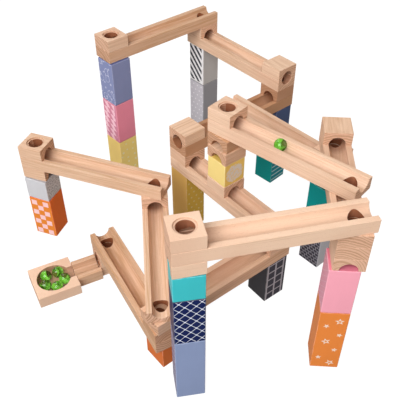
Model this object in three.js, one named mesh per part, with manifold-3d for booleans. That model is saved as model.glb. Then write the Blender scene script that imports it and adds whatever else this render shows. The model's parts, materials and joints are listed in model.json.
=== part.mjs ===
// Wooden marble run: towers of stacked blocks carry level rails, and each rail drops the marble
// through a hole in its far end into the next, lower rail.
// Millimetres, +Z up, origin at the middle of the footprint on the surface that it stands on.
import * as THREE from "three";
import { mergeVertices } from "three/addons/utils/BufferGeometryUtils.js";
import Module from "manifold-3d";

// ---- Driving dimensions -------------------------------------------------------------------
const MODULE = 35; // side of a wooden block; every height is a multiple of half of it
const HALF = MODULE / 2; // height of a rail and of an arch block
const SEAM = 0.3; // air between two pieces that rest on each other
const PAINTED_SIDE = 34; // side of a painted block
const MARBLE_DIAMETER = 16;
const RAIL_PITCH = 5 * MODULE; // from a rail's start to the drop hole in its far end
const CHANNEL_RADIUS = 10.2; // half-round channel of a rail and groove of an arch block
const RAIL_HOLE_RADIUS = 8.8;
const ARCH_HOLE_RADIUS = 9.4;
const COUNTERBORE_RADIUS = 11.9; // shallow ring around the hole of a start block
const COUNTERBORE_DEPTH = 1.6;
const TRAY_SIDE = 58;
const TRAY_BOWL_RADIUS = 23;
const TRAY_FLOOR = 5;
const ROUND_SEGMENTS = 24;
const BALL_RINGS = 4;
const OVERCUT = 5; // how far a cutter runs past the face that it opens

// Headings of the rails in plan, in degrees from +X. Every rail is one size, so these and the two
// crossing places settle where each tower stands.
const HEADING = {
  rail_1_to_2: 40.4,
  rail_2_to_3: -49.9,
  rail_3_to_5: -140.1,
  rail_5_to_10: -51.3,
  rail_10_to_11: -141.4,
  rail_11_to_tray: 118.9,
  rail_4_to_12: -20,
  rail_12_to_11: -84.7,
  rail_6_to_crossing: -41.1,
  rail_9_to_8: 12.9,
  rail_8_to_7: 86.1,
  rail_7_to_crossing: 131.5,
};
const TRAY_HEADING = 206.9; // the way the marble leaves the drop cube
const TOWER_6_ON_RAIL = 2.37 * MODULE; // tower 6 stands on rail_5_to_10, this far from its start
const CROSSING_ON_RAIL_8 = 2.13 * MODULE; // rail_6_to_crossing ends over rail_8_to_7 here
const CROSSING_SHIFT = 0.12 * MODULE; // its hole lies this far beside that rail's centre line
const RAIL_6_LEVEL = 6; // in modules, of the rail that tower 6 carries
const TOP_OF_TOWER_6_SHIFT = 0.2 * MODULE; // its top block sits this far back of its foot
const DROP_CUBE_SHIFT = 0.14 * MODULE; // the cube stands this far beside the tray's centre line

const COLOURS = {
  beech: 0xe3b78e,
  yellow: 0xd9be58,
  bright_yellow: 0xf6d775,
  olive: 0xb79a45,
  pink: 0xee8fa0,
  violet: 0x8f97bd,
  lavender: 0x9fa8cc,
  grey: 0xa5a5b4,
  light_grey: 0xcfcfcf,
  dark_grey: 0x54545c,
  charcoal: 0x45464a,
  white: 0xe9e9e9,
  navy: 0x1c2a58,
  teal: 0x067f79,
  turquoise: 0x45c5c6,
  orange: 0xee8a48,
  green_glass: 0x46c832,
};

const wasm = await Module();
wasm.setup();

// ---- Solids -------------------------------------------------------------------------------
// A closed three.js geometry as a solid: shared corners merged, collapsed triangles dropped.
function solidOf(geometry) {
  const plain = geometry.clone();
  plain.deleteAttribute("normal");
  plain.deleteAttribute("uv");
  const merged = mergeVertices(plain, 1e-4);
  const corners = merged.index.array;
  const kept = [];
  for (let i = 0; i < corners.length; i += 3) {
    const [a, b, c] = [corners[i], corners[i + 1], corners[i + 2]];
    if (a !== b && b !== c && c !== a) kept.push(a, b, c);
  }
  return new wasm.Manifold(
    new wasm.Mesh({
      numProp: 3,
      vertProperties: new Float32Array(merged.attributes.position.array),
      triVerts: new Uint32Array(kept),
    }),
  );
}

function geometryOf(solid) {
  const mesh = solid.getMesh();
  const geometry = new THREE.BufferGeometry();
  geometry.setAttribute("position", new THREE.BufferAttribute(mesh.vertProperties, 3));
  geometry.setIndex(new THREE.BufferAttribute(mesh.triVerts, 1));
  geometry.computeVertexNormals();
  return geometry;
}

function cut(blank, ...cutters) {
  return geometryOf(cutters.reduce((solid, cutter) => solid.subtract(solidOf(cutter)), solidOf(blank)));
}

// A box from x0 to x1, centred in Y, standing on z = 0.
function slab(x0, x1, width, height) {
  return new THREE.BoxGeometry(x1 - x0, width, height).translate((x0 + x1) / 2, 0, height / 2);
}

// A vertical drill at x, from z0 to z1.
function drill(x, radius, z0, z1) {
  return new THREE.CylinderGeometry(radius, radius, z1 - z0, ROUND_SEGMENTS)
    .rotateX(Math.PI / 2)
    .translate(x, 0, (z0 + z1) / 2);
}

// A ball-nosed cutter that lies along +X at height z, with the centre of its ball at x = 0.
function ballCutter(reach, z) {
  const profile = [];
  for (let i = 0; i <= BALL_RINGS; i++) {
    const angle = (i / BALL_RINGS) * (Math.PI / 2);
    profile.push(
      new THREE.Vector2(CHANNEL_RADIUS * Math.sin(angle), -CHANNEL_RADIUS * Math.cos(angle)),
    );
  }
  profile[0].x = 0;
  profile.push(new THREE.Vector2(CHANNEL_RADIUS, reach));
  profile.push(new THREE.Vector2(0, reach));
  return new THREE.LatheGeometry(profile, ROUND_SEGMENTS).rotateZ(-Math.PI / 2).translate(0, 0, z);
}

// A plain round cutter along X, from x0 to x1, at height z.
function roundCutter(x0, x1, z) {
  return new THREE.CylinderGeometry(CHANNEL_RADIUS, CHANNEL_RADIUS, x1 - x0, ROUND_SEGMENTS)
    .rotateZ(Math.PI / 2)
    .translate((x0 + x1) / 2, 0, z);
}

const RAIL_HEIGHT = HALF - SEAM;
const railGeometry = cut(
  slab(-HALF, RAIL_PITCH + HALF, MODULE, RAIL_HEIGHT),
  ballCutter(RAIL_PITCH + HALF + OVERCUT, RAIL_HEIGHT),
  drill(RAIL_PITCH, RAIL_HOLE_RADIUS, -OVERCUT, HALF),
);
// Solid-topped arch: its groove runs right through, over a rail's end or as a plain support.
const bridgeGeometry = cut(
  slab(-HALF, HALF, MODULE, HALF - SEAM),
  roundCutter(-HALF - OVERCUT, HALF + OVERCUT, 0),
);
// Arch with a drop hole: its groove is closed behind the hole and opens along +X.
const dropArchGeometry = cut(
  slab(-HALF, HALF, MODULE, HALF - SEAM),
  ballCutter(HALF + OVERCUT, 0),
  drill(0, ARCH_HOLE_RADIUS, 0, HALF + OVERCUT),
);
const startBlockGeometry = cut(
  slab(-HALF, HALF, MODULE, HALF - SEAM),
  ballCutter(HALF + OVERCUT, 0),
  drill(0, ARCH_HOLE_RADIUS, 0, HALF + OVERCUT),
  drill(0, COUNTERBORE_RADIUS, HALF - SEAM - COUNTERBORE_DEPTH, HALF + OVERCUT),
);
const dropCubeGeometry = cut(
  slab(-HALF, HALF, MODULE, MODULE - SEAM),
  ballCutter(HALF + OVERCUT, HALF),
  drill(0, ARCH_HOLE_RADIUS, HALF, MODULE + OVERCUT),
);
const channelGeometry = cut(
  slab(-HALF + SEAM, HALF - SEAM, MODULE, RAIL_HEIGHT),
  roundCutter(-HALF - OVERCUT, HALF + OVERCUT, HALF),
);
const trayGeometry = cut(
  slab(-TRAY_SIDE / 2, TRAY_SIDE / 2, TRAY_SIDE, HALF),
  drill(0, TRAY_BOWL_RADIUS, TRAY_FLOOR, HALF + OVERCUT),
  roundCutter(-TRAY_SIDE / 2 - OVERCUT, 0, HALF),
);
const marbleGeometry = new THREE.SphereGeometry(MARBLE_DIAMETER / 2, ROUND_SEGMENTS, ROUND_SEGMENTS / 2);

function paintedGeometry(modules) {
  return slab(-PAINTED_SIDE / 2, PAINTED_SIDE / 2, PAINTED_SIDE, modules * MODULE - SEAM);
}

// ---- Plan: where each tower stands --------------------------------------------------------
const X_AXIS = new THREE.Vector2(1, 0);
const NO_TURN = new THREE.Vector2(0, 0);
const direction = (degrees) => X_AXIS.clone().rotateAround(NO_TURN, THREE.MathUtils.degToRad(degrees));
const along = (start, degrees, distance) => start.clone().addScaledVector(direction(degrees), distance);
const railEnd = (start, rail) => along(start, HEADING[rail], RAIL_PITCH);
const railStart = (end, rail) => along(end, HEADING[rail], -RAIL_PITCH);

const place = { 1: new THREE.Vector2(0, 0) };
place[2] = railEnd(place[1], "rail_1_to_2");
place[3] = railEnd(place[2], "rail_2_to_3");
place[5] = railEnd(place[3], "rail_3_to_5");
place[10] = railEnd(place[5], "rail_5_to_10");
place[11] = railEnd(place[10], "rail_10_to_11");
place[12] = railStart(place[11], "rail_12_to_11");
place[4] = railStart(place[12], "rail_4_to_12");
place[6] = along(place[5], HEADING.rail_5_to_10, TOWER_6_ON_RAIL);
const topOf6 = along(place[6], 90, TOP_OF_TOWER_6_SHIFT);
const crossing = railEnd(topOf6, "rail_6_to_crossing");
const underCrossing = along(crossing, HEADING.rail_8_to_7 + 90, CROSSING_SHIFT);
place[8] = along(underCrossing, HEADING.rail_8_to_7, -CROSSING_ON_RAIL_8);
place[7] = railEnd(place[8], "rail_8_to_7");
place[9] = railStart(place[8], "rail_9_to_8");
const dropCube = railEnd(place[11], "rail_11_to_tray");
const trayLine = along(dropCube, TRAY_HEADING + 90, DROP_CUBE_SHIFT);
const channelPlace = along(trayLine, TRAY_HEADING, MODULE + SEAM);
const trayPlace = along(channelPlace, TRAY_HEADING, HALF + TRAY_SIDE / 2 + SEAM);

// ---- Assembly -----------------------------------------------------------------------------
const run = new THREE.Group();
const materials = {};

function materialOf(colour) {
  const glass = colour === "green_glass";
  materials[colour] ??= new THREE.MeshStandardMaterial({
    color: COLOURS[colour],
    roughness: glass ? 0.05 : colour === "beech" ? 0.55 : 0.45,
    metalness: 0,
  });
  return materials[colour];
}

function add(name, geometry, colour, point, level, heading) {
  const mesh = new THREE.Mesh(geometry, materialOf(colour));
  mesh.name = name;
  mesh.position.set(point.x, point.y, level * MODULE);
  mesh.rotation.z = THREE.MathUtils.degToRad(heading);
  run.add(mesh);
}

// A rail rests its start at a level of its tower.
function addRail(name, point, level) {
  add(name, railGeometry, "beech", point, level, HEADING[name]);
}

// Painted blocks stacked from the floor: [colour, modules high, heading]. A hand-built stack stands
// a little off its tower's centre, by shift.
function addPainted(tower, shift, blocks) {
  let level = 0;
  for (const [colour, modules, heading] of blocks) {
    const name = `tower_${tower}_${colour}_block`;
    const point = place[tower].clone().add(new THREE.Vector2(...shift));
    add(name, paintedGeometry(modules), colour, point, level, heading);
    level += modules;
  }
}

// Wooden pieces of half a module: [name, geometry, level, heading].
function addWooden(tower, point, pieces) {
  for (const [name, geometry, level, heading] of pieces)
    add(`tower_${tower}_${name}`, geometry, "beech", point, level, heading);
}

addPainted(1, [1.5, -4.5], [["yellow", 2, 42.7], ["pink", 2, 42.7], ["violet", 2, 42.7]]);
addRail("rail_1_to_2", place[1], 6);
addWooden(1, place[1], [["start_block", startBlockGeometry, 6.5, HEADING.rail_1_to_2]]);

addPainted(2, [3, 0.5], [["grey", 3, 42.4], ["white", 2, 42.4]]);
addRail("rail_2_to_3", place[2], 5);
addWooden(2, place[2], [["drop_arch", dropArchGeometry, 5.5, HEADING.rail_2_to_3]]);

addPainted(3, [0, 0], [["teal", 2, 44.6], ["navy", 2, 44.6]]);
addRail("rail_3_to_5", place[3], 4);
addWooden(3, place[3], [
  ["drop_arch", dropArchGeometry, 4.5, HEADING.rail_3_to_5],
  ["cap", bridgeGeometry, 5.5, HEADING.rail_2_to_3],
]);

addPainted(4, [0, -3.5], [["orange", 2, -20.3], ["light_grey", 1, -22.4]]);
addRail("rail_4_to_12", place[4], 3.5);
addWooden(4, place[4], [
  ["support_arch", bridgeGeometry, 3, HEADING.rail_4_to_12],
  ["start_block", startBlockGeometry, 4, HEADING.rail_4_to_12],
]);

addPainted(5, [0, 0], [["olive", 3, 41]]);
addRail("rail_5_to_10", place[5], 3);
addWooden(5, place[5], [
  ["drop_arch", dropArchGeometry, 3.5, HEADING.rail_5_to_10],
  ["cap", bridgeGeometry, 4.5, HEADING.rail_3_to_5],
]);

// Tower 6 stands on a rail, so it starts with an arch over that rail's channel.
const ACROSS_RAIL_5 = HEADING.rail_5_to_10 + 90;
const LOWER_ARCH_TWIST = 1;
const UPPER_ARCH_TWIST = 4;
addWooden(6, place[6], [
  ["foot_arch", bridgeGeometry, 3.5, HEADING.rail_5_to_10],
  ["lower_arch", bridgeGeometry, 5, ACROSS_RAIL_5 + LOWER_ARCH_TWIST],
]);
add("tower_6_yellow_cube", paintedGeometry(1), "bright_yellow", place[6], 4, ACROSS_RAIL_5);
addWooden(6, along(place[6], 90, TOP_OF_TOWER_6_SHIFT / 2), [
  ["upper_arch", bridgeGeometry, 5.5, ACROSS_RAIL_5 + UPPER_ARCH_TWIST],
]);
addRail("rail_6_to_crossing", topOf6, RAIL_6_LEVEL);
addWooden(6, topOf6, [
  ["start_block", startBlockGeometry, RAIL_6_LEVEL + 0.5, HEADING.rail_6_to_crossing],
]);

addPainted(7, [-0.5, -4], [["dark_grey", 2, 41.1], ["teal", 2, 41.1]]);
addRail("rail_7_to_crossing", place[7], 4.5);
addWooden(7, place[7], [
  ["support_arch", bridgeGeometry, 4, HEADING.rail_7_to_crossing],
  ["drop_arch", dropArchGeometry, 5, HEADING.rail_7_to_crossing],
  ["cap", bridgeGeometry, 6, HEADING.rail_8_to_7],
]);

addPainted(8, [-3.5, -0.5], [["orange", 3, -3.7], ["pink", 2, -3.7]]);
addRail("rail_8_to_7", place[8], 5.5);
addWooden(8, place[8], [
  ["support_arch", bridgeGeometry, 5, HEADING.rail_8_to_7],
  ["drop_arch", dropArchGeometry, 6, HEADING.rail_8_to_7],
]);

addPainted(9, [0.5, -1], [["lavender", 3, 9.6], ["navy", 2, 9.6], ["turquoise", 1, 9.6]]);
addRail("rail_9_to_8", place[9], 6.5);
addWooden(9, place[9], [
  ["support_arch", bridgeGeometry, 6, HEADING.rail_9_to_8],
  ["start_block", startBlockGeometry, 7, HEADING.rail_9_to_8],
]);

addPainted(10, [-1.5, -1.5], [["charcoal", 2, 37.6]]);
addRail("rail_10_to_11", place[10], 2);
addWooden(10, place[10], [["drop_arch", dropArchGeometry, 2.5, HEADING.rail_10_to_11]]);

addPainted(11, [2.5, 4], [["orange", 1, 39.6]]);
addRail("rail_11_to_tray", place[11], 1);
addWooden(11, place[11], [["drop_arch", dropArchGeometry, 1.5, HEADING.rail_11_to_tray]]);

addPainted(12, [0, 0], [["yellow", 2, 5.9]]);
addRail("rail_12_to_11", place[12], 2.5);
addWooden(12, place[12], [
  ["support_arch", bridgeGeometry, 2, HEADING.rail_12_to_11],
  ["drop_arch", dropArchGeometry, 3, HEADING.rail_12_to_11],
]);

add("drop_cube", dropCubeGeometry, "beech", dropCube, 0, TRAY_HEADING);
add("tray_channel", channelGeometry, "beech", channelPlace, 0, TRAY_HEADING);
add("tray", trayGeometry, "beech", trayPlace, 0, TRAY_HEADING);

// The marble lies in the channel of rail_6_to_crossing, part of the way down it.
const MARBLE_ALONG_RAIL = 2.3 * MODULE;
const channelBottom = RAIL_HEIGHT - CHANNEL_RADIUS;
const marbleLevel = RAIL_6_LEVEL + (channelBottom + MARBLE_DIAMETER / 2 + SEAM) / MODULE;
const marblePlace = along(topOf6, HEADING.rail_6_to_crossing, MARBLE_ALONG_RAIL);
add("marble", marbleGeometry, "green_glass", marblePlace, marbleLevel, 0);

// The origin goes to the middle of the footprint.
const middle = new THREE.Box3().setFromObject(run).getCenter(new THREE.Vector3());
for (const mesh of run.children) {
  mesh.position.x -= middle.x;
  mesh.position.y -= middle.y;
}

export default run;
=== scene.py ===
"""Looks of the wooden marble run: beech rails and arches, painted and printed blocks, glass marbles.

Every piece is built here at the size and place of the CAD node that it stands for. Shapes are
drawn in millimetres in a piece's own frame, with its grain along +X, and scaled to metres once.
"""
import functools
import json
import math
import operator
import random

import bmesh
import bpy
from mathutils import Matrix, Vector


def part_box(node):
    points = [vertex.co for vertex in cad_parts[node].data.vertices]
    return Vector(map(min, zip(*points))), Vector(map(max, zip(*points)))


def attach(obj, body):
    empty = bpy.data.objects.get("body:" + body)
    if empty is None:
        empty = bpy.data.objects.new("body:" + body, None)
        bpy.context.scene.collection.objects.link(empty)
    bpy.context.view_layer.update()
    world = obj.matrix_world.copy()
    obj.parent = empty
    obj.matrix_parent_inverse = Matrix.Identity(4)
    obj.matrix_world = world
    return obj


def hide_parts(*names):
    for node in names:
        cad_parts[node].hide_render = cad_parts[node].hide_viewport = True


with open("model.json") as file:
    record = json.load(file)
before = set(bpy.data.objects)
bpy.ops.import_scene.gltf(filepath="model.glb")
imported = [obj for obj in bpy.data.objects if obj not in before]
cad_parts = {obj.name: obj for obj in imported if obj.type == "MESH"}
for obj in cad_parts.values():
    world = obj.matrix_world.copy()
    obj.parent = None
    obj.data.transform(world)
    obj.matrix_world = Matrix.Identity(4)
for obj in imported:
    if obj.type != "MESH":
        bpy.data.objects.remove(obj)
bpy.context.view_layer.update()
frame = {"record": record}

# ---- Sizes, in millimetres ----------------------------------------------------------------
MM = 0.001
MODULE = 35
HALF = MODULE / 2
SEAM = 0.3
WOOD_HEIGHT = HALF - SEAM  # of a rail and of an arch block
PAINTED_SIDE = 34
RAIL_PITCH = 5 * MODULE
CHANNEL_RADIUS = 10.2
RAIL_HOLE_RADIUS = 8.8
ARCH_HOLE_RADIUS = 9.4
COUNTERBORE_RADIUS = 11.9
COUNTERBORE_DEPTH = 1.6
TRAY_SIDE = 58
TRAY_BOWL_RADIUS = 23
TRAY_FLOOR = 5
TRAY_FILLET = 2.5
MARBLE_RADIUS = 8
WOOD_EDGE = 0.4  # radius of the sanded edges
PAINT_EDGE = 1.0
RIM = 0.6  # radius round the mouth of a hole or a channel
OVER = 4  # how far a cutter runs past the face that it opens
ROUND_STEPS = 72
BALL_STEPS = 36
PROFILE_STEPS = 16
RIM_ANGLES = [math.radians(a) for a in (0, 25, 50, 72)]
SHARP_ANGLE = math.radians(34)

# Painted shade: how much darker the wood is painted, from 0 to 1, in a hole or channel, where little
# light reaches.
HOLE_SHADE = 1.0
COVERED_SHADE = 0.7  # a rail's channel under a block
TRAY_SHADE = 0.65
GROOVE_SHADE = 0.55  # of an arch
RING_SHADE = 0.2  # round a start block's hole
TRAY_CHANNEL_SHADE = 0.2
OPEN_SHADE = 0.12  # a rail's channel under the sky
BORE_DEPTH = 0.55  # how far a corner lies inside a block's box if it is in a hole or channel
WALL_SLACK = 0.8  # how far a face's middle may lie from the radius of the channel that it is in
# Where along a rail the shade under the block at its start fades out, and where the shade under a cap
# at its end sets in.
SHADE_LENGTH = 12
START_SHADE = (HALF - 10, HALF - 10 + SHADE_LENGTH)
END_SHADE = (RAIL_PITCH - HALF - 7, RAIL_PITCH - HALF - 7 + SHADE_LENGTH)

# Which way each piece points in plan, in degrees from +X.
HEADING = {
    "rail_1_to_2": 40.4,
    "rail_2_to_3": -49.9,
    "rail_3_to_5": -140.1,
    "rail_5_to_10": -51.3,
    "rail_10_to_11": -141.4,
    "rail_11_to_tray": 118.9,
    "rail_4_to_12": -20,
    "rail_12_to_11": -84.7,
    "rail_6_to_crossing": -41.1,
    "rail_9_to_8": 12.9,
    "rail_8_to_7": 86.1,
    "rail_7_to_crossing": 131.5,
}
TRAY_HEADING = 206.9
ACROSS_RAIL_5 = HEADING["rail_5_to_10"] + 90

scene = bpy.context.scene
record = frame["record"]
BODY_OF = {node: body for body, nodes in record["behaviour"]["bodies"].items() for node in nodes}


# ---- Camera, light and floor --------------------------------------------------------------
def make_camera():
    data = bpy.data.cameras.new("camera")
    data.lens = 55.76
    data.sensor_width = 36
    data.clip_start = 0.05
    data.clip_end = 30
    camera = bpy.data.objects.new("camera", data)
    camera.location = (0.02741, -0.68241, 0.66056)
    camera.rotation_euler = (math.radians(48.5), 0, 0)
    scene.collection.objects.link(camera)
    scene.camera = camera


BACKDROP_LIGHT = 0.14
BACKDROP_LIGHT_FROM_BELOW = 0.2
BACKDROP_LIGHT_COLOUR = (1, 0.94, 0.87)
FILL_COLOUR = (1, 0.84, 0.68)
MIDDLE_HEIGHT = 0.1  # of the object, in metres


def make_light():
    """Soft studio light from the front and left, with weak fill from the right and the back. The
    backdrop is white to the eye, and dimmer as a source of light."""
    scene.view_settings.view_transform = "Standard"
    world = bpy.data.worlds.new("studio")
    world.use_nodes = True
    tree = world.node_tree
    background = tree.nodes["Background"]
    direction = tree.nodes.new("ShaderNodeTexCoord").outputs["Generated"]
    up = tree.nodes.new("ShaderNodeSeparateXYZ")
    tree.links.new(direction, up.inputs[0])
    from_below = Field(tree, up.outputs["Z"]).below(0) * BACKDROP_LIGHT_FROM_BELOW
    seen = Field(tree, tree.nodes.new("ShaderNodeLightPath").outputs["Is Camera Ray"])
    strength = seen | (from_below + BACKDROP_LIGHT)
    tree.links.new(strength.socket, background.inputs["Strength"])
    colour = tree.nodes.new("ShaderNodeCombineColor")
    for socket, part in zip(colour.inputs, BACKDROP_LIGHT_COLOUR):
        tree.links.new((seen | part).socket, socket)
    tree.links.new(colour.outputs[0], background.inputs["Color"])
    scene.world = world
    add_softbox("key", -116, 41, far=2.3, across=2.1, watts=63)
    add_softbox("right_fill", -10, 28, far=1.6, across=1.2, watts=4.7, colour=FILL_COLOUR)
    add_softbox("back_fill", 135, 42, far=2.3, across=1.6, watts=16)


def add_softbox(name, azimuth, elevation, far, across, watts, colour=(1, 1, 1)):
    """A round area light that faces the middle of the object, from an azimuth in degrees from +X and
    an elevation."""
    data = bpy.data.lights.new(name, "AREA")
    data.shape = "DISK"
    data.size = across
    data.energy = watts
    data.color = colour
    lamp = bpy.data.objects.new(name, data)
    turn, rise = math.radians(azimuth), math.radians(elevation)
    towards = Vector((math.cos(turn) * math.cos(rise), math.sin(turn) * math.cos(rise), math.sin(rise)))
    lamp.location = towards * far + Vector((0, 0, MIDDLE_HEIGHT))
    lamp.rotation_euler = towards.to_track_quat("Z", "Y").to_euler()
    scene.collection.objects.link(lamp)


def make_floor():
    """A pale floor just under the feet, as bright as the backdrop."""
    mesh = bpy.data.meshes.new("floor")
    reach = 6
    corners = [(-reach, -reach, 0), (reach, -reach, 0), (reach, reach, 0), (-reach, reach, 0)]
    mesh.from_pydata(corners, [], [(0, 1, 2, 3)])
    floor = bpy.data.objects.new("floor", mesh)
    floor.location.z = -0.0004
    floor.visible_diffuse = False
    floor.visible_glossy = False
    scene.collection.objects.link(floor)
    material = bpy.data.materials.new("white_floor")
    material.use_nodes = True
    shader = material.node_tree.nodes["Principled BSDF"]
    shader.inputs["Base Color"].default_value = (0.1, 0.1, 0.1, 1)
    shader.inputs["Roughness"].default_value = 0.9
    shader.inputs["Specular IOR Level"].default_value = 0.1
    shader.inputs["Emission Color"].default_value = (1, 1, 1, 1)
    shader.inputs["Emission Strength"].default_value = 0.97
    mesh.materials.append(material)


# ---- Mesh building ------------------------------------------------------------------------
def mesh_from(name, vertices, faces):
    """A closed mesh with merged corners and its faces pointing out."""
    mesh = bpy.data.meshes.new(name)
    mesh.from_pydata(vertices, [], faces)
    shape = bmesh.new()
    shape.from_mesh(mesh)
    bmesh.ops.remove_doubles(shape, verts=shape.verts, dist=1e-5)
    bmesh.ops.dissolve_degenerate(shape, dist=1e-6, edges=shape.edges)
    bmesh.ops.recalc_face_normals(shape, faces=shape.faces)
    shape.to_mesh(mesh)
    shape.free()
    return mesh


def rounded_box(x0, x1, width, height, radius, steps=4):
    """A box centred in Y that stands on z = 0, with every edge rounded."""
    shape = bmesh.new()
    bmesh.ops.create_cube(shape, size=1)
    size = Matrix.Diagonal((x1 - x0, width, height, 1))
    shift = Matrix.Translation(((x0 + x1) / 2, 0, height / 2))
    bmesh.ops.transform(shape, matrix=shift @ size, verts=shape.verts)
    bmesh.ops.bevel(
        shape, geom=shape.edges[:], offset=radius, segments=steps, profile=0.5, affect="EDGES"
    )
    mesh = bpy.data.meshes.new("box")
    shape.to_mesh(mesh)
    shape.free()
    return mesh


def rim(radius, face, side):
    """Outline, as (radius, height), of a mouth rounded where a hole meets a flat face, from the
    wall outwards. side is 1 where the air is above the face and -1 where it is below."""
    points = [
        (radius + RIM * (1 - math.cos(a)), face - side * RIM * (1 - math.sin(a))) for a in RIM_ANGLES
    ]
    points.append((radius + RIM, face + side * RIM * 0.3))
    points.append((radius + RIM, face + side * OVER))
    return points


def lathe(outline, steps=ROUND_STEPS):
    """A closed solid of revolution round Z from (radius, height) points that start and end on it."""
    vertices = []
    for k in range(steps):
        turn = 2 * math.pi * k / steps
        vertices += [(r * math.cos(turn), r * math.sin(turn), z) for r, z in outline]
    count = len(outline)
    faces = []
    for k in range(steps):
        a, b = k * count, (k + 1) % steps * count
        faces += [(a + i, b + i, b + i + 1, a + i + 1) for i in range(count - 1)]
    return mesh_from("lathe", vertices, faces)


def channel_outline(spread):
    """Half the section of a half-round channel under a face at height 0, from its bottom to past its
    rounded rim. spread widens it, towards the end of the rail."""
    radius = CHANNEL_RADIUS + spread
    last = math.acos(RIM / radius)
    steps = [last * i / PROFILE_STEPS for i in range(PROFILE_STEPS + 1)]
    points = [(radius * math.sin(a), -radius * math.cos(a)) for a in steps]
    return points + rim(radius, 0, 1)[1:]


def mouth_stations(face, side):
    """(x, spread) pairs that round a channel's mouth at an end face, from inside to outside."""
    stations = [(face - side * RIM * (1 - math.sin(a)), RIM * (1 - math.cos(a))) for a in RIM_ANGLES]
    return stations + [(face + side * RIM * 0.3, RIM), (face + side * OVER, RIM)]


def channel_cutter(x0, x1, blind, ribs=()):
    """A half-round channel along X below height 0. It opens at x1, and at x0 too unless blind, when it
    ends there in a quarter ball. Its faces are split at ribs, for the shade to change between them."""
    start = [(x0, 0)] if blind else list(reversed(mouth_stations(x0, -1)))
    stations = start + [(x, 0) for x in ribs] + mouth_stations(x1, 1)
    halves = [channel_outline(spread) for _, spread in stations]
    last = len(halves[0]) - 1
    vertices, starts = [], []
    for (x, _), half in zip(stations, halves):
        starts.append(len(vertices))
        vertices += [(x, y, z) for y, z in reversed(half)]
        vertices += [(x, -y, z) for y, z in half[1:]]
    width = 2 * last
    faces = []
    for a, b in zip(starts, starts[1:]):
        faces += [(a + i, a + i + 1, b + i + 1, b + i) for i in range(width)]
    faces.append(tuple(starts[-1] + i for i in range(width + 1)))
    top = starts + [start + width for start in reversed(starts)]
    if blind:
        columns = []
        for k in range(BALL_STEPS + 1):
            turn = math.pi / 2 + math.pi * k / BALL_STEPS
            columns.append(len(vertices))
            vertices += [(x0 + r * math.cos(turn), r * math.sin(turn), z) for r, z in halves[0]]
        for a, b in zip(columns, columns[1:]):
            faces += [(a + i, a + i + 1, b + i + 1, b + i) for i in range(last)]
        top += [column + last for column in reversed(columns)]
    else:
        faces.append(tuple(starts[0] + i for i in range(width + 1)))
    faces.append(tuple(top))
    return mesh_from("channel", vertices, faces)


def moved(mesh, *matrices):
    for matrix in matrices:
        mesh.transform(matrix)
        if matrix.is_negative:
            mesh.flip_normals()
    return mesh


def applied(thing):
    """The mesh of an object with its modifiers applied."""
    graph = bpy.context.evaluated_depsgraph_get()
    return bpy.data.meshes.new_from_object(
        thing.evaluated_get(graph), preserve_all_data_layers=True, depsgraph=graph
    )


def subtract(blank, *cutters):
    block = bpy.data.objects.new("blank", blank)
    scene.collection.objects.link(block)
    tools = []
    for cutter in cutters:
        tool = bpy.data.objects.new("cutter", cutter)
        scene.collection.objects.link(tool)
        tools.append(tool)
        step = block.modifiers.new("cut", "BOOLEAN")
        step.operation = "DIFFERENCE"
        step.solver = "EXACT"
        step.object = tool
    bpy.context.view_layer.update()
    mesh = applied(block)
    for thing in [block, *tools]:
        bpy.data.objects.remove(thing)
    return mesh


def hollow_shade(mesh, darkness):
    """How much painted shade each corner of each face gets, from 0 to 1. darkness is a function that
    says it for a corner and its face in a hole or channel. The outside of a block is 0."""
    low = [min(vertex.co[axis] for vertex in mesh.vertices) + BORE_DEPTH for axis in range(3)]
    high = [max(vertex.co[axis] for vertex in mesh.vertices) - BORE_DEPTH for axis in range(3)]
    values = []
    for face in mesh.polygons:
        for index in face.vertices:
            corner = mesh.vertices[index].co
            inside = all(a < part < b for a, part, b in zip(low, corner, high))
            values.append(darkness(corner, face) if inside else 0.0)
    return values


def clamped(value):
    return min(max(value, 0.0), 1.0)


def in_channel(face, height):
    """Whether a face is on the wall of a channel along X whose centre line is at height."""
    across = math.hypot(face.center.y, face.center.z - height)
    return abs(across - CHANNEL_RADIUS) < WALL_SLACK


def arch_shade(corner, face):
    """Painted shade: the closed end of an arch's groove, and the hole above it, are painted darker than
    the groove.
    """
    return GROOVE_SHADE if in_channel(face, 0) else HOLE_SHADE


def rail_shade(corner, face):
    """Painted shade: a rail's channel is painted darker under the block at its start."""
    if not in_channel(face, WOOD_HEIGHT):
        return HOLE_SHADE
    opened = clamped((corner.x - START_SHADE[0]) / SHADE_LENGTH)
    return COVERED_SHADE - (COVERED_SHADE - OPEN_SHADE) * opened


# Painted shade in a start block: only a little on the ring round its hole, elsewhere as in an arch.
def start_block_shade(corner, face):
    on_ring = math.hypot(corner.x, corner.y) > ARCH_HOLE_RADIUS + RIM / 2
    if on_ring and corner.z > WOOD_HEIGHT - COUNTERBORE_DEPTH - 0.1:
        return RING_SHADE
    return arch_shade(corner, face)


# Painted shade, even over all the hollows of a piece: light in the tray's channel piece, deeper in the
# tray's bowl and slot.
def tray_channel_shade(corner, face):
    return TRAY_CHANNEL_SHADE


def tray_shade(corner, face):
    return TRAY_SHADE


def shade_under_cap(mesh):
    """Paints shade on the end of a rail's channel, where a cap stands over it."""
    for loop, painted_shade in zip(mesh.loops, mesh.attributes["painted_shade"].data):
        if painted_shade.value > 0:
            along = mesh.vertices[loop.vertex_index].co.x / MM
            shade = COVERED_SHADE * clamped((along - END_SHADE[0]) / SHADE_LENGTH)
            painted_shade.value = max(painted_shade.value, shade)


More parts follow.
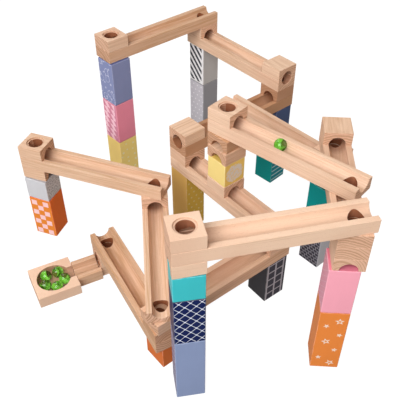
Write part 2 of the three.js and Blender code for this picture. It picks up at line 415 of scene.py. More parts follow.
def finished(mesh, darkness=arch_shade):
    """Scaled to metres and shaded smooth but for its sharp edges. The faces note how far they show end
    grain and which way they look, and their corners how much painted shade they get."""
    shape = bmesh.new()
    shape.from_mesh(mesh)
    bmesh.ops.remove_doubles(shape, verts=shape.verts, dist=1e-4)
    bmesh.ops.dissolve_degenerate(shape, dist=1e-4, edges=shape.edges)
    shape.to_mesh(mesh)
    shape.free()
    ends = mesh.attributes.new("end_grain", "FLOAT", "FACE")
    ends.data.foreach_set("value", [abs(face.normal.x) for face in mesh.polygons])
    sides = mesh.attributes.new("side", "FLOAT_VECTOR", "FACE")
    normals = [abs(part) for face in mesh.polygons for part in face.normal]
    sides.data.foreach_set("vector", normals)
    bores = mesh.attributes.new("painted_shade", "FLOAT", "CORNER")
    bores.data.foreach_set("value", hollow_shade(mesh, darkness))
    mesh.transform(Matrix.Scale(MM, 4))
    mesh.shade_smooth()
    mesh.set_sharp_from_angle(angle=SHARP_ANGLE)
    holder = bpy.data.objects.new("holder", mesh)
    scene.collection.objects.link(holder)
    weighted = holder.modifiers.new("weighted", "WEIGHTED_NORMAL")
    weighted.keep_sharp = True
    bpy.context.view_layer.update()
    done = applied(holder)
    bpy.data.objects.remove(holder)
    return done


UP = Matrix.Translation((0, 0, WOOD_HEIGHT))
OVERTURNED = Matrix.Scale(-1, 4, (0, 0, 1))


def wood_blank(x0, x1, width=MODULE, height=WOOD_HEIGHT):
    return rounded_box(x0, x1, width, height, WOOD_EDGE)


def drilled(radius, bottom, top):
    """A vertical drill from bottom, inside the wood, to the rounded mouth in a top face."""
    return lathe([(0, bottom), (radius, bottom), *rim(radius, top, 1), (0, top + OVER)])


def rail_mesh():
    hole = lathe(
        [(0, -OVER), *reversed(rim(RAIL_HOLE_RADIUS, 0, -1)), (RAIL_HOLE_RADIUS, HALF), (0, HALF)]
    )
    return subtract(
        wood_blank(-HALF, RAIL_PITCH + HALF),
        moved(channel_cutter(0, RAIL_PITCH + HALF, blind=True, ribs=START_SHADE + END_SHADE), UP),
        moved(hole, Matrix.Translation((RAIL_PITCH, 0, 0))),
    )


def bridge_mesh():
    groove = channel_cutter(-HALF, HALF, blind=False)
    return subtract(wood_blank(-HALF, HALF), moved(groove, OVERTURNED))


def drop_arch_mesh():
    groove = channel_cutter(0, HALF, blind=True)
    return subtract(
        wood_blank(-HALF, HALF),
        moved(groove, OVERTURNED),
        drilled(ARCH_HOLE_RADIUS, 1, WOOD_HEIGHT),
    )


def start_block_mesh():
    """A drop arch whose hole has a shallow ring round it, for the marble to be dropped into."""
    ledge = WOOD_HEIGHT - COUNTERBORE_DEPTH
    lip = rim(ARCH_HOLE_RADIUS, ledge, 1)[: len(RIM_ANGLES)]
    hole = [(0, 1), (ARCH_HOLE_RADIUS, 1), *lip, (ARCH_HOLE_RADIUS + RIM, ledge)]
    hole += [(COUNTERBORE_RADIUS, ledge), *rim(COUNTERBORE_RADIUS, WOOD_HEIGHT, 1)]
    hole.append((0, WOOD_HEIGHT + OVER))
    groove = channel_cutter(0, HALF, blind=True)
    return subtract(wood_blank(-HALF, HALF), moved(groove, OVERTURNED), lathe(hole))


def drop_cube_mesh():
    """A cube that takes the marble in at its top and lets it out through a round hole in its side."""
    ball = [math.radians(90) * i / PROFILE_STEPS for i in range(PROFILE_STEPS + 1)]
    tunnel = [(CHANNEL_RADIUS * math.sin(a), -CHANNEL_RADIUS * math.cos(a)) for a in ball]
    tunnel += [*rim(CHANNEL_RADIUS, HALF, 1), (0, HALF + OVER)]
    lying = Matrix.Rotation(math.radians(90), 4, "Y")
    return subtract(
        wood_blank(-HALF, HALF, height=MODULE - SEAM),
        moved(lathe(tunnel), lying, Matrix.Translation((0, 0, HALF))),
        drilled(ARCH_HOLE_RADIUS, HALF, MODULE - SEAM),
    )


def tray_channel_mesh():
    end = HALF - SEAM
    return subtract(wood_blank(-end, end), moved(channel_cutter(-end, end, blind=False), UP))


def tray_mesh():
    """A square tray with a round bowl, which the marbles reach through a slot on its -X side."""
    fillet = [math.radians(90) * i / 6 for i in range(7)]
    middle, above = TRAY_BOWL_RADIUS - TRAY_FILLET, TRAY_FLOOR + TRAY_FILLET
    bowl = [(0, TRAY_FLOOR)]
    bowl += [(middle + TRAY_FILLET * math.sin(a), above - TRAY_FILLET * math.cos(a)) for a in fillet]
    bowl += [*rim(TRAY_BOWL_RADIUS, HALF, 1), (0, HALF + OVER)]
    slot = channel_cutter(-TRAY_SIDE / 2, 0, blind=False)
    return subtract(
        wood_blank(-TRAY_SIDE / 2, TRAY_SIDE / 2, TRAY_SIDE, HALF),
        lathe(bowl, steps=96),
        moved(slot, Matrix.Translation((0, 0, HALF))),
    )


def painted_height(modules):
    return modules * MODULE - SEAM


def painted_mesh(modules):
    side = PAINTED_SIDE / 2
    return rounded_box(-side, side, PAINTED_SIDE, painted_height(modules), PAINT_EDGE)


# ---- Materials ----------------------------------------------------------------------------
def linear(colour):
    """(r, g, b, 1) for the renderer from a colour written as 0xRRGGBB."""
    parts = [(colour >> shift & 255) / 255 for shift in (16, 8, 0)]
    return tuple(p / 12.92 if p <= 0.04045 else ((p + 0.055) / 1.055) ** 2.4 for p in parts) + (1,)


class Field:
    """A number that varies over a surface. Arithmetic on it adds Math nodes to its material."""

    def __init__(self, tree, socket):
        self.tree = tree
        self.socket = socket

    def math(self, operation, *others, clamp=False):
        node = self.tree.nodes.new("ShaderNodeMath")
        node.operation = operation
        node.use_clamp = clamp
        for socket, value in zip(node.inputs, (self, *others)):
            if isinstance(value, Field):
                self.tree.links.new(value.socket, socket)
            else:
                socket.default_value = value
        return Field(self.tree, node.outputs[0])

    def __add__(self, other):
        return self.math("ADD", other)

    def __sub__(self, other):
        return self.math("SUBTRACT", other)

    def __mul__(self, other):
        return self.math("MULTIPLY", other)

    def __truediv__(self, other):
        return self.math("DIVIDE", other)

    def __or__(self, other):
        """Where either of two masks is set."""
        return self.math("MAXIMUM", other)

    def __and__(self, other):
        """Where both of two masks are set."""
        return self.math("MINIMUM", other)

    def inverted(self):
        return (self * -1).math("ADD", 1)

    def clamped(self):
        """Held between 0 and 1."""
        return self.math("ADD", 0, clamp=True)

    def size(self):
        return self.math("ABSOLUTE")

    def whole(self):
        return self.math("FLOOR")

    def part(self):
        return self.math("FRACT")

    def below(self, limit, blur=0.15):
        """A soft-edged mask of where this is below limit."""
        return ((self - limit) * (-1 / blur)).math("ADD", 0.5, clamp=True)

    def repeat(self, pitch):
        """Distance from the nearest multiple of pitch, either side."""
        return ((self / pitch).math("ADD", 0.5).part() - 0.5).size() * pitch


class Surface:
    """One material: its node tree, and the piece's own coordinates in millimetres."""

    def __init__(self, name, roughness):
        self.material = bpy.data.materials.new(name)
        self.material.use_nodes = True
        self.tree = self.material.node_tree
        self.shader = self.tree.nodes["Principled BSDF"]
        self.shader.inputs["Roughness"].default_value = roughness
        place = self.tree.nodes.new("ShaderNodeTexCoord").outputs["Object"]
        self.place = self.scaled(place, (1 / MM, 1 / MM, 1 / MM))
        self.x, self.y, self.z = self.parts(self.place)

    def node(self, kind, **inputs):
        made = self.tree.nodes.new(kind)
        for name, value in inputs.items():
            socket = made.inputs[name]
            if isinstance(value, bpy.types.NodeSocket):
                self.tree.links.new(value, socket)
            else:
                socket.default_value = value
        return made

    def scaled(self, vector, factors):
        node = self.tree.nodes.new("ShaderNodeVectorMath")
        node.operation = "MULTIPLY"
        self.tree.links.new(vector, node.inputs[0])
        node.inputs[1].default_value = factors
        return node.outputs[0]

    def parts(self, vector):
        node = self.node("ShaderNodeSeparateXYZ", Vector=vector)
        return [Field(self.tree, socket) for socket in node.outputs]

    def vector(self, x, y, z):
        node = self.tree.nodes.new("ShaderNodeCombineXYZ")
        for socket, value in zip(node.inputs, (x, y, z)):
            if isinstance(value, Field):
                self.tree.links.new(value.socket, socket)
            else:
                socket.default_value = value
        return node.outputs[0]

    def attribute(self, name):
        node = self.tree.nodes.new("ShaderNodeAttribute")
        node.attribute_name = name
        return node

    def noise(self, vector, detail=2.0, roughness=0.5):
        node = self.node("ShaderNodeTexNoise", Vector=vector, Scale=1.0, Detail=detail)
        node.inputs["Roughness"].default_value = roughness
        return Field(self.tree, node.outputs["Fac"])

    def cells(self, x, y):
        """A flat pattern of loose points, about one to a unit square."""
        node = self.node("ShaderNodeTexVoronoi", Vector=self.vector(x, y, 0.0), Scale=1.0)
        node.voronoi_dimensions = "2D"
        return node

    def mix(self, mask, first, second):
        node = self.tree.nodes.new("ShaderNodeMix")
        node.data_type = "RGBA"
        if isinstance(mask, Field):
            self.tree.links.new(mask.socket, node.inputs["Factor"])
        else:
            node.inputs["Factor"].default_value = mask
        for socket, value in zip((node.inputs[6], node.inputs[7]), (first, second)):
            if isinstance(value, bpy.types.NodeSocket):
                self.tree.links.new(value, socket)
            else:
                socket.default_value = value
        return node.outputs[2]

    def paint(self, socket_name, value):
        if isinstance(value, Field):
            value = value.socket
        self.tree.links.new(value, self.shader.inputs[socket_name])

    def bump(self, height, strength, distance):
        node = self.node("ShaderNodeBump", Strength=strength, Distance=distance)
        self.tree.links.new(height.socket, node.inputs["Height"])
        self.tree.links.new(node.outputs[0], self.shader.inputs["Normal"])


BEECH_PALE = linear(0xF3D1B6)
BEECH_DEEP = linear(0xCA9C76)
BEECH_PINK = linear(0xE2B69A)
BEECH_FLECK_AND_SHADE = linear(0xA9775A)
BEECH_END = linear(0xB38463)
BEECH_SHADE = linear(0x8A4A28)
RING_WIDTH = 3.4
RING_SWAY = 14


def make_beech():
    """Sanded beech: growth rings round a heart outside the piece, fine fibres along X, short dark
    flecks, and darker end grain with rays."""
    wood = Surface("beech", roughness=0.5)
    wood.shader.inputs["Specular IOR Level"].default_value = 0.25
    offset = wood.attribute("grain")
    along, heart_y, heart_z = wood.parts(offset.outputs["Vector"])
    x = wood.x + along
    tone_and_shade = Field(wood.tree, wood.attribute("tone_and_shade").outputs["Fac"])
    ends = Field(wood.tree, wood.attribute("end_grain").outputs["Fac"])

    def marks(along_scale, across_scale, **options):
        """Noise whose marks are drawn out along X."""
        y, z = wood.y * across_scale, wood.z * across_scale
        return wood.noise(wood.vector(x * along_scale, y, z), **options)

    # Growth rings round the heart.
    y, z = wood.y - heart_y, wood.z - heart_z
    distance = (y * y + z * z).math("SQRT") + marks(0.008, 0.03) * RING_SWAY
    spacing = wood.noise(wood.vector(distance * 0.16, along, 0.0), detail=1)
    phase = distance / RING_WIDTH + spacing * 2.5
    rings = (phase * (2 * math.pi)).math("SINE") * 0.5 + 0.5
    rings = rings * rings * (spacing * 1.3)

    # Faces along the grain.
    fibres = marks(0.03, 1.3, detail=4, roughness=0.65)
    streaks = marks(0.012, 0.28)
    flecks = ((marks(0.42, 2.8, detail=1) - 0.64) * 9).clamped()
    clouds = marks(0.012, 0.02, detail=1)
    tone = (fibres - 0.5) * 1.15 + (streaks - 0.5) * 0.95 + rings * 0.35 + tone_and_shade
    colour = wood.mix((tone + 0.1).clamped(), BEECH_PALE, BEECH_DEEP)
    # Painted shade: pieces with a value over 0.6 in the table of tones are darkened further, towards
    # the fleck colour.
    colour = wood.mix(((tone_and_shade - 0.6) * 0.9).clamped(), colour, BEECH_FLECK_AND_SHADE)
    colour = wood.mix(((clouds - 0.42) * 3).clamped() * 0.6, colour, BEECH_PINK)
    colour = wood.mix(flecks * 0.4, colour, BEECH_FLECK_AND_SHADE)

    # End grain, with rays out from the heart and pores.
    angle = z.math("ARCTAN2", y)
    rays = wood.noise(wood.vector(angle * 90, distance * 0.25, 0.0), detail=2)
    pores = wood.noise(wood.vector(wood.y * 3.2, wood.z * 3.2, along), detail=1)
    end_tone = rings * 1.25 + (rays - 0.5) * 0.8 + (pores - 0.5) * 0.6 + tone_and_shade * 0.6
    end_colour = wood.mix(end_tone.clamped(), BEECH_PINK, BEECH_END)
    colour = wood.mix((ends * ends) * 0.85, colour, end_colour)
    # Painted shade: corners in holes and channels are mixed towards a dark brown.
    painted_shade = Field(wood.tree, wood.attribute("painted_shade").outputs["Fac"])
    colour = wood.mix(painted_shade * 0.9, colour, BEECH_SHADE)
    wood.paint("Base Color", colour)

    wood.paint("Roughness", fibres * 0.16 + ends * 0.12 + 0.42)
    wood.bump(fibres - flecks * 0.8 + rings * 0.3, strength=0.35, distance=0.00015)
    return wood.material


# ---- Prints -------------------------------------------------------------------------------
class PrintedFace:
    """A face to print on: u runs across it and v up it, in millimetres from its lower left corner."""

    def __init__(self, paint, u, v, height):
        self.paint = paint
        self.u = u
        self.v = v
        self.height = height

    def moved(self, across, up):
        return PrintedFace(self.paint, self.u + across, self.v + up, self.height)

    def finer(self, factor):
        return PrintedFace(self.paint, self.u * factor, self.v * factor, self.height)


def span(across, up):
    """How far a point is from one that lies this far across and up."""
    return (across * across + up * up).math("SQRT")


def every_other(column, row):
    """A mask of every other cell of a grid, from how many columns and rows in a point lies."""
    return ((column.whole() + row.whole()) / 2).part().below(0.25, 0.01)


def star(u, v, radius, turn):
    """Distance outside a five-pointed star that is centred on u = v = 0."""
    sector = 2 * math.pi / 5
    angle = v.math("ARCTAN2", u) + (turn + 4 * math.pi)
    folded = ((angle / sector).part() - 0.5).size() * sector
    reach = span(u, v)
    notch = 0.45 * radius
    tip_x, tip_y = radius * math.cos(sector / 2), radius * math.sin(sector / 2)
    length = math.hypot(tip_x - notch, tip_y)
    x, y = reach * folded.math("COSINE"), reach * folded.math("SINE")
    return (x - notch) * (tip_y / length) + y * ((notch - tip_x) / length)


# Each print takes a face and gives a mask of where its colour goes.
def stars(face):
    """Small filled stars and larger outlined ones, each turned its own way."""
    filled = [(10, 81), (27, 65), (25, 36), (8, 20)]
    outlined = [(24, 90), (13, 52), (23, 10)]
    masks = []
    for index, (across, up) in enumerate(filled):
        masks.append(star(face.u - across, face.v - up, 3.8, 0.3 + index).below(0))
    for index, (across, up) in enumerate(outlined):
        edge = star(face.u - across, face.v - up, 6.4, 0.9 + index) + 0.9
        masks.append(edge.size().below(0.65))
    return functools.reduce(operator.or_, masks)


def diamond_net(face, pitch=12.0, line=0.34, dot=1.1):
    """Slanted lines that cross, with a dot at each crossing."""
    u, v = face.u, face.v
    width = line * 1.41
    lines = (u + v).repeat(pitch).below(width) | (u - v).repeat(pitch).below(width)
    corner = span(u.repeat(pitch), v.repeat(pitch)).below(dot)
    middle = span((u + pitch / 2).repeat(pitch), (v + pitch / 2).repeat(pitch)).below(dot)
    return lines | corner | middle


def faint_net(face):
    return diamond_net(face, pitch=8.8, line=0.3, dot=0.8) * 0.5


def checks(face, left=2.6, bottom=1.5, cell=9.2, columns=3, rows=7):
    """Checks with thin seams between them, inside a margin."""
    u, v = face.u - left, face.v - bottom
    seams = (u.repeat(cell).below(0.25) | v.repeat(cell).below(0.25)).inverted()
    within = u.below(columns * cell) & u.below(0).inverted()
    within = within & v.below(rows * cell) & v.below(0).inverted()
    return every_other(u / cell, v / cell) & seams & within


def slanted_check(face, width=8.6, rise=9.7, lean=0.71, right=29.5):
    """Checks that lean over, up to a plain margin."""
    u, v = face.u, face.v
    return every_other((u + v * lean) / width, v / rise) & u.below(right)


def slanted_stripes(face, pitch=9.3, stripe=2.3, middle=15.2, reach=14.2, margin=3):
    """Slanted stripes inside a margin."""
    u, v, half = face.u, face.v, face.height / 2
    stripes = (u * 0.72 + v * 0.7).repeat(pitch).below(stripe)
    return stripes & (u - middle).size().below(reach) & (v - half).size().below(half - margin)


def level_stripes(face, pitch=8.75, line=1.1, reach=15.6):
    inside = (face.u - PAINTED_SIDE / 2).size().below(reach)
    return (face.v + 3).repeat(pitch).below(line) & inside


def panes(face, pitch=13.4, line=1.25, right=30.5, bottom=5):
    """A grid of thin lines, like a window's."""
    u, v = face.u, face.v
    across = (u - 2).repeat(pitch).below(line)
    level = v.repeat(pitch).below(line * 0.8) & (v - bottom).inverted().below(0)
    return (across | level) & u.below(right)


def brick_net(face, pitch=6.8, rise=5.2, line=0.5):
    """The joints of a brick wall."""
    shift = ((face.v / rise).whole() / 2).part() * pitch
    lines = (face.u + shift).repeat(pitch).below(line) | face.v.repeat(rise).below(line * 0.8)
    return lines * 0.8


def dots(face, pitch=9.4, radius=1.4):
    """Rows of dots, each row half a pitch along from the last."""
    shift = ((face.v / pitch).whole() / 2).part() * pitch
    distance = span((face.u + shift).repeat(pitch), (face.v - pitch / 2).repeat(pitch))
    return distance.below(radius, 0.4) * 0.7


def blossoms(face, pitch=11.5, radius=1.2, uneven=0.9):
    """Loose dots of uneven size."""
    node = face.paint.cells(face.u / pitch, face.v / pitch)
    node.inputs["Randomness"].default_value = 0.55
    split = face.paint.node("ShaderNodeSeparateColor", Color=node.outputs["Color"])
    size = Field(face.paint.tree, split.outputs[0])
    distance = Field(face.paint.tree, node.outputs["Distance"]) * pitch
    return (distance - size * uneven).below(radius, 0.4) * 0.75


def doodles(face, width=15, rise=18, radius=4.6):
    """Outlined pebbles of uneven shape with small dots between them."""
    paint = face.paint
    wobble = paint.noise(paint.vector(face.u * 0.2, face.v * 0.2, 0.0), detail=1) * 0.4
    node = paint.cells(face.u / width + wobble, face.v / rise + wobble)
    rings = (Field(paint.tree, node.outputs["Distance"]) * width - radius).size().below(0.3, 0.3)
    return rings | blossoms(face.moved(3.7, 5.1), pitch=12.5) * 0.8


def speckle(face, pitch=4.2, reach=1.25):
    """Small loose square marks."""
    node = face.paint.cells(face.u / pitch, face.v / pitch)
    node.distance = "CHEBYCHEV"
    return (Field(face.paint.tree, node.outputs["Distance"]) * pitch).below(reach)


def fine_speckle(face):
    return speckle(face.finer(1.5))


def patches(face, reach=17.2, wave=7):
    """A pale round field with a wavy edge, broken by small darker marks."""
    noise = face.paint.noise(face.paint.vector(face.u * 0.16, face.v * 0.16, 0.0), detail=1)
    distance = span(face.u - PAINTED_SIDE / 2, face.v - face.height / 2)
    field = (distance + noise * wave).below(reach, 0.6)
    return field * (speckle(face) * 0.6).inverted()


# ---- Paint and glass ----------------------------------------------------------------------
def make_paint(name, height, colour, printed=None, pattern=None, across="x", base=None):
    """Satin paint over wood that runs up a block of this height. A pattern goes on the two faces that
    across runs along, and base is those faces' own colour where it isn't the block's."""
    paint = Surface(name, roughness=0.4)
    paint.shader.inputs["Specular IOR Level"].default_value = 0.14
    side = PAINTED_SIDE / 2
    cloud = paint.noise(paint.scaled(paint.place, (0.035, 0.035, 0.02)), detail=2)
    grain = paint.noise(paint.scaled(paint.place, (0.9, 0.9, 0.03)), detail=3, roughness=0.6)
    plain = linear(colour)
    darker = tuple(0.86 * part for part in plain[:3]) + (1,)
    tone = ((cloud - 0.35) * 1.6 + (grain - 0.5) * 0.5).clamped()
    result = paint.mix(tone * 0.6, plain, darker)

    # Painted shade: the top and bottom faces are darker and deeper in colour, as for a top seen in
    # shadow under an arch.
    painted_end_shade = tuple(0.75 * part**1.6 for part in plain[:3]) + (1,)
    sides = paint.parts(paint.attribute("side").outputs["Vector"])
    result = paint.mix(sides[2] * sides[2] * 0.85, result, painted_end_shade)

    if pattern:
        faces = (sides[1] if across == "x" else sides[0]).below(0.98, 0.02).inverted()
        u = (paint.x if across == "x" else paint.y * -1) + side
        if base is not None:
            result = paint.mix(faces, result, linear(base))
        mask = pattern(PrintedFace(paint, u, paint.z, height)) & faces
        result = paint.mix(mask, result, linear(printed))

    # Wear: the block is rubbed paler near an edge, where two of its faces are both close.
    near_x, near_y = paint.x.size() * -1 + side, paint.y.size() * -1 + side
    near_z = paint.z & (paint.z * -1 + height)
    edge = (near_x | near_y) & ((near_x & near_y) | near_z)
    chips = paint.noise(paint.scaled(paint.place, (0.22, 0.22, 0.22)), detail=3)
    worn = (edge - chips * 1.6).below(-0.25, 0.5)
    lighter = tuple(part + 0.35 * (1 - part) for part in plain[:3]) + (1,)
    result = paint.mix(worn * 0.45, result, lighter)
    paint.paint("Base Color", result)
    paint.paint("Roughness", grain * 0.1 + worn * 0.15 + 0.33)
    paint.bump(grain + cloud * 0.5, strength=0.22, distance=0.00015)
    return paint.material


def make_glass():
    glass = Surface("green_glass", roughness=0.02)
    swirl = glass.noise(glass.scaled(glass.place, (0.16, 0.16, 0.3)), detail=2)
    colour = glass.mix(swirl, linear(0xBCE496), linear(0x80C860))
    glass.paint("Base Color", colour)
    glass.shader.inputs["Transmission Weight"].default_value = 1.0
    glass.shader.inputs["IOR"].default_value = 1.5
    return glass.material


def make_vane():
    """The coloured leaves inside a marble."""
    vane = Surface("marble_vane", roughness=0.3)
    streak = vane.noise(vane.scaled(vane.place, (0.5, 0.5, 0.12)), detail=2)
    vane.paint("Base Color", vane.mix(streak, linear(0x2F8C20), linear(0xB4D86C)))
    return vane.material


# ---- Pieces -------------------------------------------------------------------------------
def centre_of(node):
    low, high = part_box(node)
    return (low + high) / 2


def put(name, mesh, location, heading, body, nodes=()):
    """Adds a piece that rides on a body, and that stands for the CAD nodes named."""
    piece = bpy.data.objects.new(name, mesh)
    scene.collection.objects.link(piece)
    piece.location = location
    piece.rotation_euler.z = math.radians(heading)
    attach(piece, body)
    if nodes:
        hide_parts(*nodes)
    return piece


def stand_in(node, mesh, material, heading, forward=0):
    """A piece in a node's place. forward is how far the middle of its shape lies along its +X."""
    turn = math.radians(heading)
    location = centre_of(node) - Vector((math.cos(turn), math.sin(turn), 0)) * forward * MM
    location.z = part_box(node)[0].z
    mesh.name = node + "_shape"
    mesh.materials.append(material)
    put(node + "_look", mesh, location, heading, BODY_OF[node], [node])


# Pieces that are paler or browner than the rest. The values are partly the wood's own tone and partly
# painted shade: the highest darken pieces that stand in shadow.
WOOD_TONE_AND_SHADE = {
    "tray": -0.8,
    "tray_channel": 0.45,
    "rail_9_to_8": -0.3,
    "tower_9_start_block": -0.35,
    "tower_9_support_arch": -0.25,
    "tower_3_cap": 0.0,
    "rail_3_to_5": 1.05,
    "tower_3_drop_arch": 1.35,
    "tower_5_cap": 0.2,
    "rail_11_to_tray": 0.6,
    "tower_11_drop_arch": 0.8,
    "rail_12_to_11": 0.25,
    "tower_6_upper_arch": 0.8,
    "tower_6_lower_arch": 0.4,
    "tower_5_drop_arch": 0.35,
    "tower_4_start_block": 0.3,
    "rail_4_to_12": 0.35,
    "tower_4_support_arch": 0.3,
    "rail_1_to_2": 0.5,
    "tower_1_start_block": 0.0,
    "rail_6_to_crossing": -0.02,
    "tower_6_start_block": 0.0,
    "tower_7_cap": 0.2,
    "tower_8_drop_arch": 0.15,
    "rail_8_to_7": 0.1,
    "tower_8_support_arch": -0.15,
}
# Pieces cut from one log, so that the grain runs on from one to the next, with how far along the log
# they lie and where its heart is: across, and above the floor.
ONE_LOG = [
    (("tower_8_drop_arch", "rail_8_to_7", "tower_8_support_arch"), 120, 8, 172),
    (("tower_9_start_block", "rail_9_to_8"), 300, -34, 150),
    (("tower_4_start_block", "rail_4_to_12"), 500, 34, 60),
    (("tower_1_start_block", "rail_1_to_2"), 700, 38, 150),
    (("tower_6_start_block", "rail_6_to_crossing"), 200, -38, 120),
]


def note_grain(node, mesh, chance):
    """Gives a wooden piece its own cut from the log: where along it, and where the heart lies."""
    turn = chance.uniform(0.15, 0.85) * math.pi * chance.choice((1, -1))
    away = chance.uniform(22, 55)
    grain = (chance.uniform(0, 900), away * math.cos(turn), away * math.sin(turn))
    # The table gives a piece's tone, and painted shade for a piece that stands in shadow; other pieces
    # get a random tone.
    tone_and_shade = WOOD_TONE_AND_SHADE.get(node, chance.uniform(-0.05, 0.35))
    for nodes, along, across, height in ONE_LOG:
        if node in nodes:
            grain = (along, across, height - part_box(node)[0].z / MM)
    count = len(mesh.vertices)
    values = mesh.attributes.new("grain", "FLOAT_VECTOR", "POINT")
    values.data.foreach_set("vector", grain * count)
    values = mesh.attributes.new("tone_and_shade", "FLOAT", "POINT")
    values.data.foreach_set("value", [tone_and_shade] * count)


# How each wooden shape is made, and how much painted shade its holes and channels get.
WOODEN_SHAPES = {
    "rail": (rail_mesh, rail_shade),
    "bridge": (bridge_mesh, arch_shade),
    "drop_arch": (drop_arch_mesh, arch_shade),
    "start_block": (start_block_mesh, start_block_shade),
    "drop_cube": (drop_cube_mesh, arch_shade),
    "tray_channel": (tray_channel_mesh, tray_channel_shade),
    "tray": (tray_mesh, tray_shade),
}
CAPPED_RAILS = ("rail_2_to_3", "rail_3_to_5", "rail_8_to_7")

# (node, shape, heading) of each wooden piece that isn't a rail.
WOODEN_BLOCKS = [
    ("tower_1_start_block", "start_block", HEADING["rail_1_to_2"]),
    ("tower_2_drop_arch", "drop_arch", HEADING["rail_2_to_3"]),
    ("tower_3_drop_arch", "drop_arch", HEADING["rail_3_to_5"]),
    ("tower_3_cap", "bridge", HEADING["rail_2_to_3"]),
    ("tower_4_support_arch", "bridge", HEADING["rail_4_to_12"]),
    ("tower_4_start_block", "start_block", HEADING["rail_4_to_12"]),
    ("tower_5_drop_arch", "drop_arch", HEADING["rail_5_to_10"]),
    ("tower_5_cap", "bridge", HEADING["rail_3_to_5"]),
    ("tower_6_foot_arch", "bridge", HEADING["rail_5_to_10"]),
    ("tower_6_lower_arch", "bridge", ACROSS_RAIL_5 + 1),
    ("tower_6_upper_arch", "bridge", ACROSS_RAIL_5 + 4),
    ("tower_6_start_block", "start_block", HEADING["rail_6_to_crossing"]),
    ("tower_7_support_arch", "bridge", HEADING["rail_7_to_crossing"]),
    ("tower_7_drop_arch", "drop_arch", HEADING["rail_7_to_crossing"]),
    ("tower_7_cap", "bridge", HEADING["rail_8_to_7"]),
    ("tower_8_support_arch", "bridge", HEADING["rail_8_to_7"]),
    ("tower_8_drop_arch", "drop_arch", HEADING["rail_8_to_7"]),
    ("tower_9_support_arch", "bridge", HEADING["rail_9_to_8"]),
    ("tower_9_start_block", "start_block", HEADING["rail_9_to_8"]),
    ("tower_10_drop_arch", "drop_arch", HEADING["rail_10_to_11"]),
    ("tower_11_drop_arch", "drop_arch", HEADING["rail_11_to_tray"]),
    ("tower_12_support_arch", "bridge", HEADING["rail_12_to_11"]),
    ("tower_12_drop_arch", "drop_arch", HEADING["rail_12_to_11"]),
    ("drop_cube", "drop_cube", TRAY_HEADING),
    ("tray_channel", "tray_channel", TRAY_HEADING),
    ("tray", "tray", TRAY_HEADING),
]

# Painted blocks: (node, modules high, heading, colour, and for a printed one: the print's colour,
# its pattern, the axis that it runs along, and the printed faces' own colour or None).
PAINTED_BLOCKS = [
    ("tower_1_yellow_block", 2, 42.7, 0xFFDE84, (0xFFF6D2, blossoms, "x", 0xFFE48C)),
    ("tower_1_pink_block", 2, 42.7, 0xF292AA, (0xFFCEDC, slanted_check, "y", 0xDC8AA2)),
    ("tower_1_violet_block", 2, 42.7, 0x8A93BE, (0xDDE0F3, doodles, "y", None)),
    ("tower_2_grey_block", 3, 42.4, 0x98979E, (0xF6F4F8, dots, "y", 0xC9C6CF)),
    ("tower_2_white_block", 2, 42.4, 0xC0BDBD, (0x3C3E48, slanted_stripes, "y", 0xF2F1F4)),
    ("tower_3_teal_block", 2, 44.6, 0x02A3A1, (0xB0D8DE, level_stripes, "x", 0x008B9C)),
    ("tower_3_navy_block", 2, 44.6, 0x465780, None),
    ("tower_4_orange_block", 2, -20.3, 0xFF7A22, (0xFFD2D4, checks, "x", 0xEC8A36)),
    ("tower_4_light_grey_block", 1, -22.4, 0xD3D3D8, (0xB9B6BC, fine_speckle, "y", 0xE2DFE4)),
    ("tower_5_olive_block", 3, 41, 0xE6B864, (0xE6D8A0, dots, "x", 0xD8AE46)),
    ("tower_6_yellow_cube", 1, ACROSS_RAIL_5, 0xFCE290, (0xE8DCD0, patches, "x", 0xF5D070)),
    ("tower_7_dark_grey_block", 2, 41.1, 0xC8CAD5, (0xC4C2CF, brick_net, "y", 0x43414E)),
    ("tower_7_teal_block", 2, 41.1, 0x029B9B, None),
    ("tower_8_orange_block", 3, -3.7, 0xF18D41, (0xFBE0CC, stars, "x", None)),
    ("tower_8_pink_block", 2, -3.7, 0xFEADBF, (0xF9D3DE, faint_net, "y", 0xF0A5BA)),
    ("tower_9_lavender_block", 3, 9.6, 0x8F9FC6, (0xD2D2E2, diamond_net, "y", 0x8A86A8)),
    ("tower_9_navy_block", 2, 9.6, 0x1E2A5C, (0xE6ECFA, diamond_net, "x", 0x0B1E55)),
    ("tower_9_turquoise_block", 1, 9.6, 0x41C7CF, None),
    ("tower_10_charcoal_block", 2, 37.6, 0x404047, (0xB2AFBA, panes, "x", 0x3C3B48)),
    ("tower_11_orange_block", 1, 39.6, 0xD9702F, None),
    ("tower_12_yellow_block", 2, 5.9, 0xE6C456, None),
]


def build_wood():
    beech = make_beech()
    shapes = {name: finished(make(), painted_shade) for name, (make, painted_shade) in WOODEN_SHAPES.items()}
    chance = random.Random(12)
    pieces = [(node, "rail", heading, RAIL_PITCH / 2) for node, heading in HEADING.items()]
    pieces += [(node, shape, heading, 0) for node, shape, heading in WOODEN_BLOCKS]
    for node, shape, heading, forward in pieces:
        mesh = shapes[shape].copy()
        note_grain(node, mesh, chance)
        if node in CAPPED_RAILS:
            shade_under_cap(mesh)
        stand_in(node, mesh, beech, heading, forward)
    for shape in shapes.values():
        bpy.data.meshes.remove(shape)


def build_paint():
    for node, modules, heading, colour, print_facts in PAINTED_BLOCKS:
        mesh = finished(painted_mesh(modules))
        material = make_paint(node, painted_height(modules), colour, *(print_facts or ()))
        stand_in(node, mesh, material, heading)


def glass_ball_mesh():
    """A ball with the slight unevenness of a pressed glass marble."""
    shape = bmesh.new()
    bmesh.ops.create_icosphere(shape, subdivisions=5, radius=MARBLE_RADIUS)
    for vertex in shape.verts:
        turn = math.atan2(vertex.co.y, vertex.co.x)
        vertex.co *= 1 - 0.004 * (1 + math.sin(3 * turn + vertex.co.z * 0.5)) / 2
    mesh = bpy.data.meshes.new("glass_ball")
    shape.to_mesh(mesh)
    shape.free()
    mesh.transform(Matrix.Scale(MM, 4))
    mesh.shade_smooth()
    return mesh


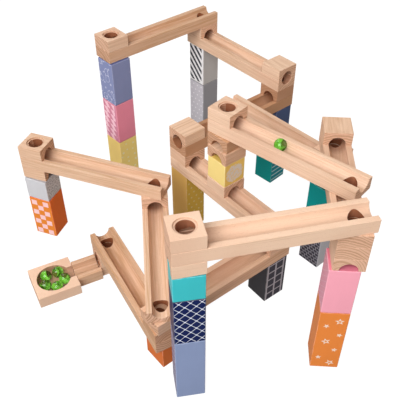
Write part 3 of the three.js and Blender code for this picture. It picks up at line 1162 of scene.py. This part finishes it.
def vanes_mesh():
    """The three twisted leaves of coloured glass inside a marble, which meet on its axis."""
    leaves, rows, columns = 3, 24, 8
    reach, half_height, thickness, twist = 6.4, 6.6, 0.42, math.radians(75)
    vertices, faces = [], []
    for leaf in range(leaves):
        for side in (1, -1):
            base = len(vertices)
            for i in range(rows + 1):
                level = -1 + 2 * i / rows
                swell = math.sqrt(1 - level * level)
                turn = 2 * math.pi * leaf / leaves + twist * level
                cos, sin = math.cos(turn), math.sin(turn)
                for j in range(columns + 1):
                    out = j / columns
                    x, y = reach * swell * out, thickness * side * (1 - out * out) * swell
                    vertices.append((x * cos - y * sin, x * sin + y * cos, half_height * level))
            row = columns + 1
            for i in range(rows):
                for j in range(columns):
                    a = base + i * row + j
                    quad = (a, a + 1, a + row + 1, a + row)
                    faces.append(quad if side == 1 else tuple(reversed(quad)))
    mesh = mesh_from("vanes", vertices, faces)
    mesh.transform(Matrix.Scale(MM, 4))
    mesh.shade_smooth()
    return mesh


def add_marble(name, centre, body, glass, vane, chance, nodes=()):
    """One glass marble with its vanes, turned at random."""
    tilt = [chance.uniform(0, 2 * math.pi) for _ in range(3)]
    turned = Matrix.Rotation(tilt[0], 4, "X") @ Matrix.Rotation(tilt[1], 4, "Y")
    heading = math.degrees(tilt[2])
    for part, make, material in (("glass", glass_ball_mesh, glass), ("vanes", vanes_mesh, vane)):
        mesh = make()
        mesh.transform(turned)
        mesh.materials.append(material)
        stood_for = nodes if part == "glass" else ()
        piece = put(f"{name}_{part}", mesh, centre, heading, body, stood_for)
        piece.visible_shadow = part != "glass"  # so that light reaches the vanes inside the ball


def build_marbles():
    glass, vane = make_glass(), make_vane()
    chance = random.Random(5)
    add_marble("marble", centre_of("marble"), BODY_OF["marble"], glass, vane, chance, ["marble"])
    middle = centre_of("tray")
    count, ring, first = 5, 14.2, 153  # they lie round the bowl, just clear of each other
    for index in range(count):
        turn = math.radians(first - 360 / count * index)
        centre = middle + Vector((math.cos(turn), math.sin(turn), 0)) * ring * MM
        centre.z = (TRAY_FLOOR + MARBLE_RADIUS) * MM
        add_marble(f"tray_marble_{index + 1}", centre, BODY_OF["tray"], glass, vane, chance)


make_camera()
make_light()
make_floor()
build_wood()
build_paint()
build_marbles()
